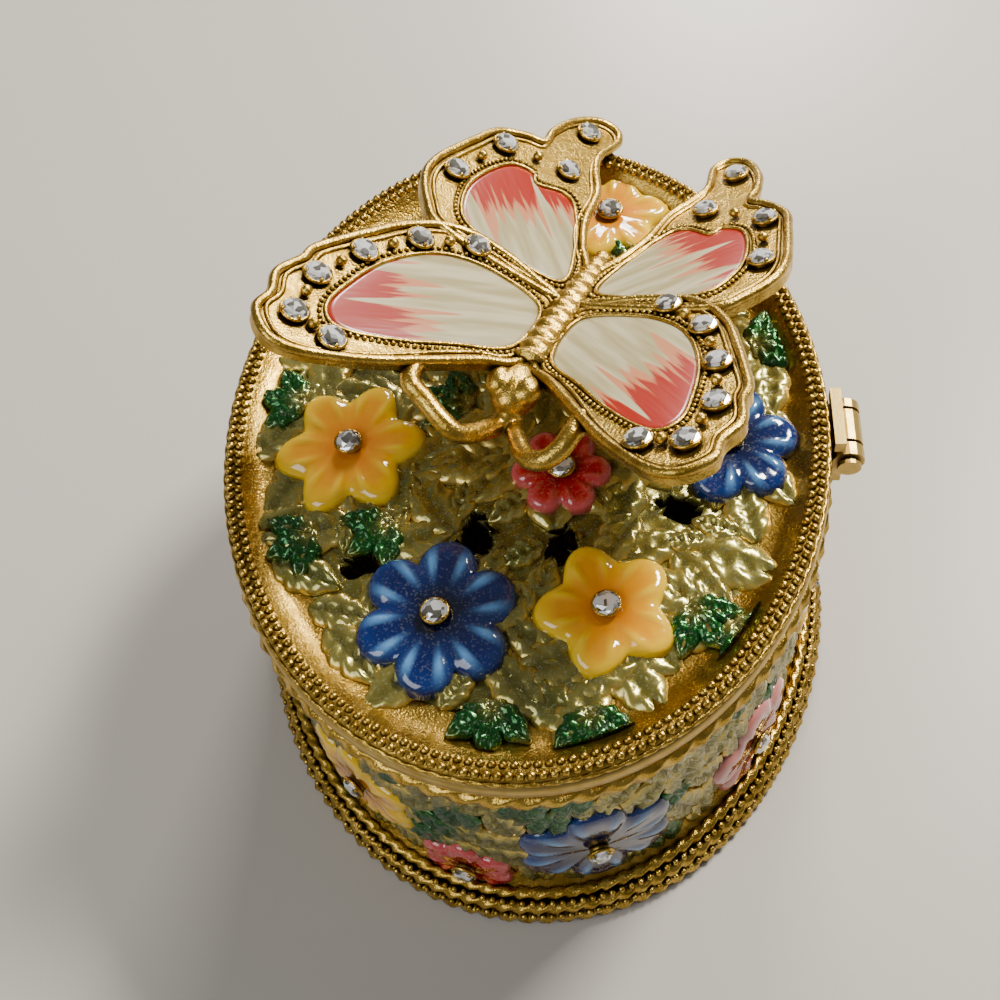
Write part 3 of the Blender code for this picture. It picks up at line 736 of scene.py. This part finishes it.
def make_cup():
    """The cup in one turned shell: underside, foot, wall, rim, inner wall and floor."""
    profile = [(0.3, 0.0), (12, 0.0), (25.4, 0.0), (26.2, 0.3), (26.3, 1.4), (25.6, 2.9), (24.8, 3.6)]
    profile += [(WALL_OUT, height) for height in (4.2, 9.0, 14.0, 19.0, RIM_BOTTOM)]
    profile += [(24.9, 23.8), (RIM_OUT, 25.4), (24.8, 26.1), (24.0, RIM_TOP)]
    profile += [(WALL_IN, height) for height in (26.1, 20.0, 10.0, 2.4)]
    profile += [(22.6, 1.7), (21.8, FLOOR_TOP), (10.0, FLOOR_TOP), (0.3, FLOOR_TOP)]
    make_piece("cup", turned(profile, 300, False), "base", GOLD, ("base",))


def make_lid():
    """The lid's rim in one turned ring, and its domed floor.

    The floor is a sheet of quads on the oval. Those inside an uneven hole go, the points near a
    hole's edge move onto it, and the sheet is given its thickness.
    """
    profile = [(DISH_IN - 0.5, 27.7), (DISH_IN + 0.6, 27.75), (DISH_IN + 1.6, 28.1), (DISH_OUT - 0.3, 29.0)]
    profile += [(DISH_OUT, 29.25), (24.8, 29.4), (25.2, 29.2), (25.35, 28.6), (25.35, 26.8)]
    profile += [(25.2, LID_BOTTOM), (DISH_IN - 0.5, LID_BOTTOM)]
    make_piece("lid_rim", turned(profile, 320), "lid", GOLD, ("lid",))
    angle = np.linspace(0, 2 * math.pi, 380, endpoint=False)[None]
    radius = np.linspace(0.4, DISH_IN, 84)[:, None]
    sheet = net(oval(radius, angle, 0.0), poles=(True, False))
    points = sheet.points
    whole = np.ones(len(sheet.quads), bool)
    for x, y in LID_HOLES:
        away = points[:, :2] - (x, y)
        around = np.arctan2(away[:, 1], away[:, 0])
        far = np.hypot(*away.T)
        gap = far - HOLE_R * (1 + 0.25 * np.cos(2 * around + x) + 0.12 * np.cos(3 * around + y))
        whole &= gap[sheet.quads].mean(1) >= 0
        near = np.abs(gap) < HOLE_SNAP
        points[near, :2] -= (gap / np.maximum(far, 1e-3))[near, None] * away[near]
    cast = CAST_WAVE * np.sin(points[:, 0] * 2.1 + 1.3 * np.sin(points[:, 1])) * np.sin(points[:, 1] * 1.7)
    points[:, 2] = lid_surface(points[:, 0], points[:, 1]) + cast
    sheet.quads = sheet.quads[whole]
    floor = make_piece("lid_floor", sheet, "lid", LEAF)
    wall = floor.modifiers.new("thickness", "SOLIDIFY")
    wall.thickness = LID_THICK * MM
    wall.offset = -1.0
    floor.data.materials.append(GOLD)
    wall.material_offset = 1


def make_trims():
    """The lid's bead rows and satin band, the corded rim and the foot's crinkled cords."""
    rows = [bead_row(24.9, 29.35, 0.42, 210), bead_row(24.2, 29.25, 0.4, 200), rope(25.3, 28.85, 0.22, 120)]
    make_piece("lid_beads", join(rows), "lid", GOLD)
    band = turned([(25.1, BAND_LOW), (25.5, 26.8), (25.62, 27.7), (25.5, 28.6), (25.1, BAND_HIGH)])
    make_piece("lid_band", band, "lid", SATIN)
    cords = [rope(RIM_OUT, 25.3, 0.75, 75), rope(24.9, 24.0, 0.45, 90)]
    make_piece("rim_cord", join(cords), "base", GOLD)
    foot = [rope(26.5, 0.8, 0.75, 110), rope(26.3, 2.0, 0.6, 120), rope(25.6, 3.0, 0.5, 120),
            bead_row(26.9, 1.45, 0.34, 230), bead_row(26.3, 2.75, 0.34, 210)]
    make_piece("foot_cords", join(foot), "base", GOLD)


FLY_FRAME = Matrix.Translation(FLY_PLACE) @ Matrix.Rotation(FLY_TURN, 4, "Z")
FLY_FRAME = FLY_FRAME @ Matrix.Rotation(FLY_ROLL, 4, "Y") @ Matrix.Rotation(FLY_PITCH, 4, "X")


def wing_edges(outline, cell, side):
    """One wing's trims: a double rolled edge, a lip round its cell and beads between the two."""
    edge = curve([(side * x, y, 0) for x, y in outline], EDGE_STEPS, True)[0]
    lip = curve([(side * x, y, 0) for x, y in cell], 200, True)[0]
    inward = unit(lip.mean(0) - edge)
    level = np.array([0, 0, 0.5])
    parts = [
        tube(edge + level + inward * 0.25, 0.42, 8, True),
        tube(edge + level + inward * 1.05, 0.22, 6, True),
        tube(lip + level * 1.1, 0.2, 6, True),
    ]
    outer = curve([(side * x, y, 0) for x, y in cell], 84, True)[0]
    outward = unit(outer - outer.mean(0))
    parts.append(copies(ball(*BEAD), outer + outward * 0.55 + level * 1.15, 0.23))
    return join(parts)


def wing_enamel(cell, side):
    """The pearl in one cell: a low lens, painted with its reach from root to tip and its place across."""
    edge = curve([(side * x, y, 0) for x, y in cell], 160, True)[0]
    middle = edge.mean(0)
    rho = np.linspace(1, 0.02, 14)[:, None, None]
    top = middle + (edge - middle) * rho + np.array([0, 0, 1]) * (0.52 + 0.12 * (1 - rho**4))
    points = np.concatenate([(middle + (edge - middle) * rho[::-1])[4:], top])
    root = np.array([side * 1.0, -5.0 if cell is FORE_CELL else 1.0])
    tip = np.array([side * 15.4, -17.0]) if cell is FORE_CELL else np.array([side * 11.6, 11.6])
    axis = (tip - root) / np.linalg.norm(tip - root)
    flat = points[..., :2] - root
    reach = flat @ axis / np.linalg.norm(tip - root)
    return net(points, poles=(True, True), reach=reach, fan=flat @ np.array([-axis[1], axis[0]]) / 10)


def wing_plate(outline, side):
    """A flat plate with the wing's outline: two copies of the outline, joined and covered."""
    edge = curve([(side * x, y, 0) for x, y in outline], EDGE_STEPS, True)[0]
    rows = np.stack([edge + np.array([0, 0, high]) for high in (-PLATE_HALF, PLATE_HALF)])
    made = net(rows)
    cover = np.array(geometry.tessellate_polygon([[Vector(point) for point in edge]]))
    triangles = np.concatenate([cover, cover + len(edge)])
    return Surface(made.points, made.quads, triangles, {})


def make_head():
    """Head, two feelers and their beads, melted into one casting by a fine remesh."""
    round_form = ball(14, 24)
    parts = [round_form.moved(lambda points: points * size + middle) for middle, size in HEAD]
    for feeler in (LEFT_FEELER, RIGHT_FEELER):
        parts.append(tube(curve(feeler, 60)[0], FEELER_R, 14))
        parts.append(copies(ball(8, 14), [feeler[-1]], FEELER_BEAD_R))
    head = make_piece("butterfly_head", join(parts).placed(FLY_FRAME), "lid", GOLD)
    melt = head.modifiers.new("melt", "REMESH")
    melt.mode = "VOXEL"
    melt.voxel_size = MELT_SIZE * MM
    melt.use_smooth_shade = True
    soften = head.modifiers.new("soften", "SMOOTH")
    soften.iterations = 5
    foot = turned([(0.02, 29.2), (2.0, 29.3), (1.5, 31.0), (1.2, 34.6), (0.02, 34.8)], 24, False)
    x, y, _ = FLY_PLACE
    post = foot.moved(lambda points: points * (1, 1 / STRETCH, 1) + (x, y, 0))
    make_piece("butterfly_post", post, "lid", GOLD)


def make_domes():
    """Small gold domes on the wings, halfway between neighbouring stones."""
    middles = []
    for hand in ("left", "right"):
        seats = [np.add(*map(np.array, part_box(f"crystal_{hand}_wing_{i}"))) / 2 / MM for i in range(1, 11)]
        middles += [(seats[i] + seats[i + 1]) / 2 for i in (0, 1, 2, 3, 4, 6, 7)]
    make_piece("wing_domes", copies(ball(5, 10, 0.8), middles, 0.5), "lid", GOLD)


def make_butterfly():
    """Plates, trims and pearl of the wings, and the ringed body."""
    for side, hand in ((-1, "left"), (1, "right")):
        place = FLY_FRAME @ Matrix.Rotation(-side * WING_LIFT, 4, "Y")
        trims = join([wing_edges(FOREWING, FORE_CELL, side), wing_edges(HINDWING, HIND_CELL, side)])
        plates = join([wing_plate(FOREWING, side), wing_plate(HINDWING, side)]).placed(place)
        make_piece(f"{hand}_wing_plates", plates, "lid", GOLD, ("butterfly",), smooth=False)
        make_piece(f"{hand}_wing_trims", trims.placed(place), "lid", GOLD)
        for cell, end in ((FORE_CELL, "fore"), (HIND_CELL, "hind")):
            fill = wing_enamel(cell, side).placed(place)
            make_piece(f"{hand}_{end}wing_pearl", fill, "lid", PEARL)
    back = np.linspace(BODY_FRONT, BODY_REAR, 140)
    share = (back - BODY_FRONT) / (BODY_REAR - BODY_FRONT)
    ripple = 0.92 + 0.14 * np.abs(np.cos(math.pi * BODY_RINGS * share))
    size = (BODY_R + 0.12) * (1 - 0.45 * share**3) * ripple
    body = tube(np.stack([0 * back, back, 0 * back], -1), size, 28).placed(FLY_FRAME)
    make_piece("butterfly_body", body, "lid", GOLD)


def stone():
    """A cut stone: a flat table, a ring of crown facets turned half a step, and the girdle."""
    angle = np.linspace(0, 2 * math.pi, 8, endpoint=False)[None]
    turns = np.array([0, 0, math.pi / 8, 0, 0])[:, None]
    radius = np.array([0.9, 1.0, 0.82, 0.55, 0.02])[:, None]
    high = np.array([-0.15, 0.12, 0.36, 0.52, 0.52])[:, None]
    points = np.stack([radius * np.cos(angle + turns), radius * np.sin(angle + turns), high + 0 * angle], -1)
    made = net(points, poles=(True, True))
    return Surface(made.points, np.empty((0, 4), int),
                   np.concatenate([made.quads[:, :3], made.quads[:, [0, 2, 3]], made.triangles]), {})


def make_stones():
    """Every crystal in its collar and four claws, at the place of its own node."""
    around = np.linspace(0, 2 * math.pi, 20, endpoint=False)
    ring = tube(oval(COLLAR_R, around, 0.0) * (1, 1 / STRETCH, 1), COLLAR_WIRE, 6, True)
    claw_angle = np.array([0.8, 2.4, 3.9, 5.5])
    claw_place = np.stack([0.95 * np.cos(claw_angle), 0.95 * np.sin(claw_angle), 0.2 + 0 * claw_angle], -1)
    claw = copies(ball(*BEAD), claw_place, 0.2)
    low = turned([(0.02, -0.9), (0.75, -0.9), (1.0, -0.05), (0.02, -0.02)], 20, False)
    setting = join([ring, claw, low.moved(lambda points: points * (1, 1 / STRETCH, 1))])
    for name in sorted(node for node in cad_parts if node.startswith("crystal_")):
        low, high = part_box(name)
        middle = (np.array(low) + np.array(high)) / 2 / MM
        where = name.split("_")[1]
        body = "base" if where == "wall" else "lid"
        turn = Matrix.Identity(3)
        if where in ("left", "right"):
            lift = Matrix.Rotation((WING_LIFT if where == "left" else -WING_LIFT), 4, "Y")
            turn = (FLY_FRAME @ lift).to_3x3()
        if where == "wall":
            out = oval_out(np.array(math.atan2(middle[1] / STRETCH, middle[0])))
            turn = Matrix(np.array([(-out[1], out[0], 0), (0, 0, 1), out]).T.tolist())
        place = Matrix.Translation(middle.tolist()) @ turn.to_4x4()
        scale = Matrix.Scale(CRYSTAL_R, 4)
        seat = Matrix.Translation((0, 0, -STONE_SINK))
        stone_piece = stone().placed(place @ seat @ scale)
        stone_name = name.replace("crystal", "stone")
        make_piece(stone_name, stone_piece, body, CRYSTAL, (name,), smooth=False)
        seated = setting.placed(place @ seat)
        make_piece(name.replace("crystal", "setting"), seated, body, GOLD)


def make_stage():
    """The pale floor, the soft lights and the camera."""
    bpy.ops.mesh.primitive_plane_add(size=FLOOR_SIZE)
    floor = bpy.context.object
    paint = Paint("floor", Roughness=0.35)
    paint.set(Base_Color=paint.mix(paint.noise(8.0), (0.5, 0.47, 0.42), (0.56, 0.53, 0.48)))
    floor.data.materials.append(paint.material)
    for name, place, size, power, colour in LAMPS:
        light = bpy.data.lights.new(name, "AREA")
        light.size = size
        light.energy = power
        light.color = colour
        lamp = bpy.data.objects.new(name, light)
        lamp.location = place
        lamp.rotation_euler = (-lamp.location).to_track_quat("-Z", "Y").to_euler()
        bpy.context.scene.collection.objects.link(lamp)
    world = bpy.data.worlds.new("studio")
    world.use_nodes = True
    world.node_tree.nodes["Background"].inputs[0].default_value = (0.8, 0.78, 0.74, 1)
    world.node_tree.nodes["Background"].inputs[1].default_value = 0.22
    bpy.context.scene.world = world
    camera = bpy.data.objects.new("camera", bpy.data.cameras.new("camera"))
    camera.data.sensor_width = SENSOR
    camera.data.lens = CAMERA_LENS
    camera.data.clip_start = 0.005
    turn = Matrix((CAMERA_RIGHT, CAMERA_UP, CAMERA_BACK)).transposed()
    camera.matrix_world = Matrix.Translation(CAMERA_PLACE) @ turn.to_4x4()
    bpy.context.scene.collection.objects.link(camera)
    bpy.context.scene.camera = camera


PEARL = pearl()
CRYSTAL = crystal()
for node in ("hinge_leaf_base", "hinge_leaf_lid", "hinge_pin"):
    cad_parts[node].data.materials.clear()
    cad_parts[node].data.materials.append(SATIN)
make_cup()
make_lid()
make_flowers()
make_leaves()
make_trims()
make_butterfly()
make_head()
make_domes()
make_stones()
make_stage()
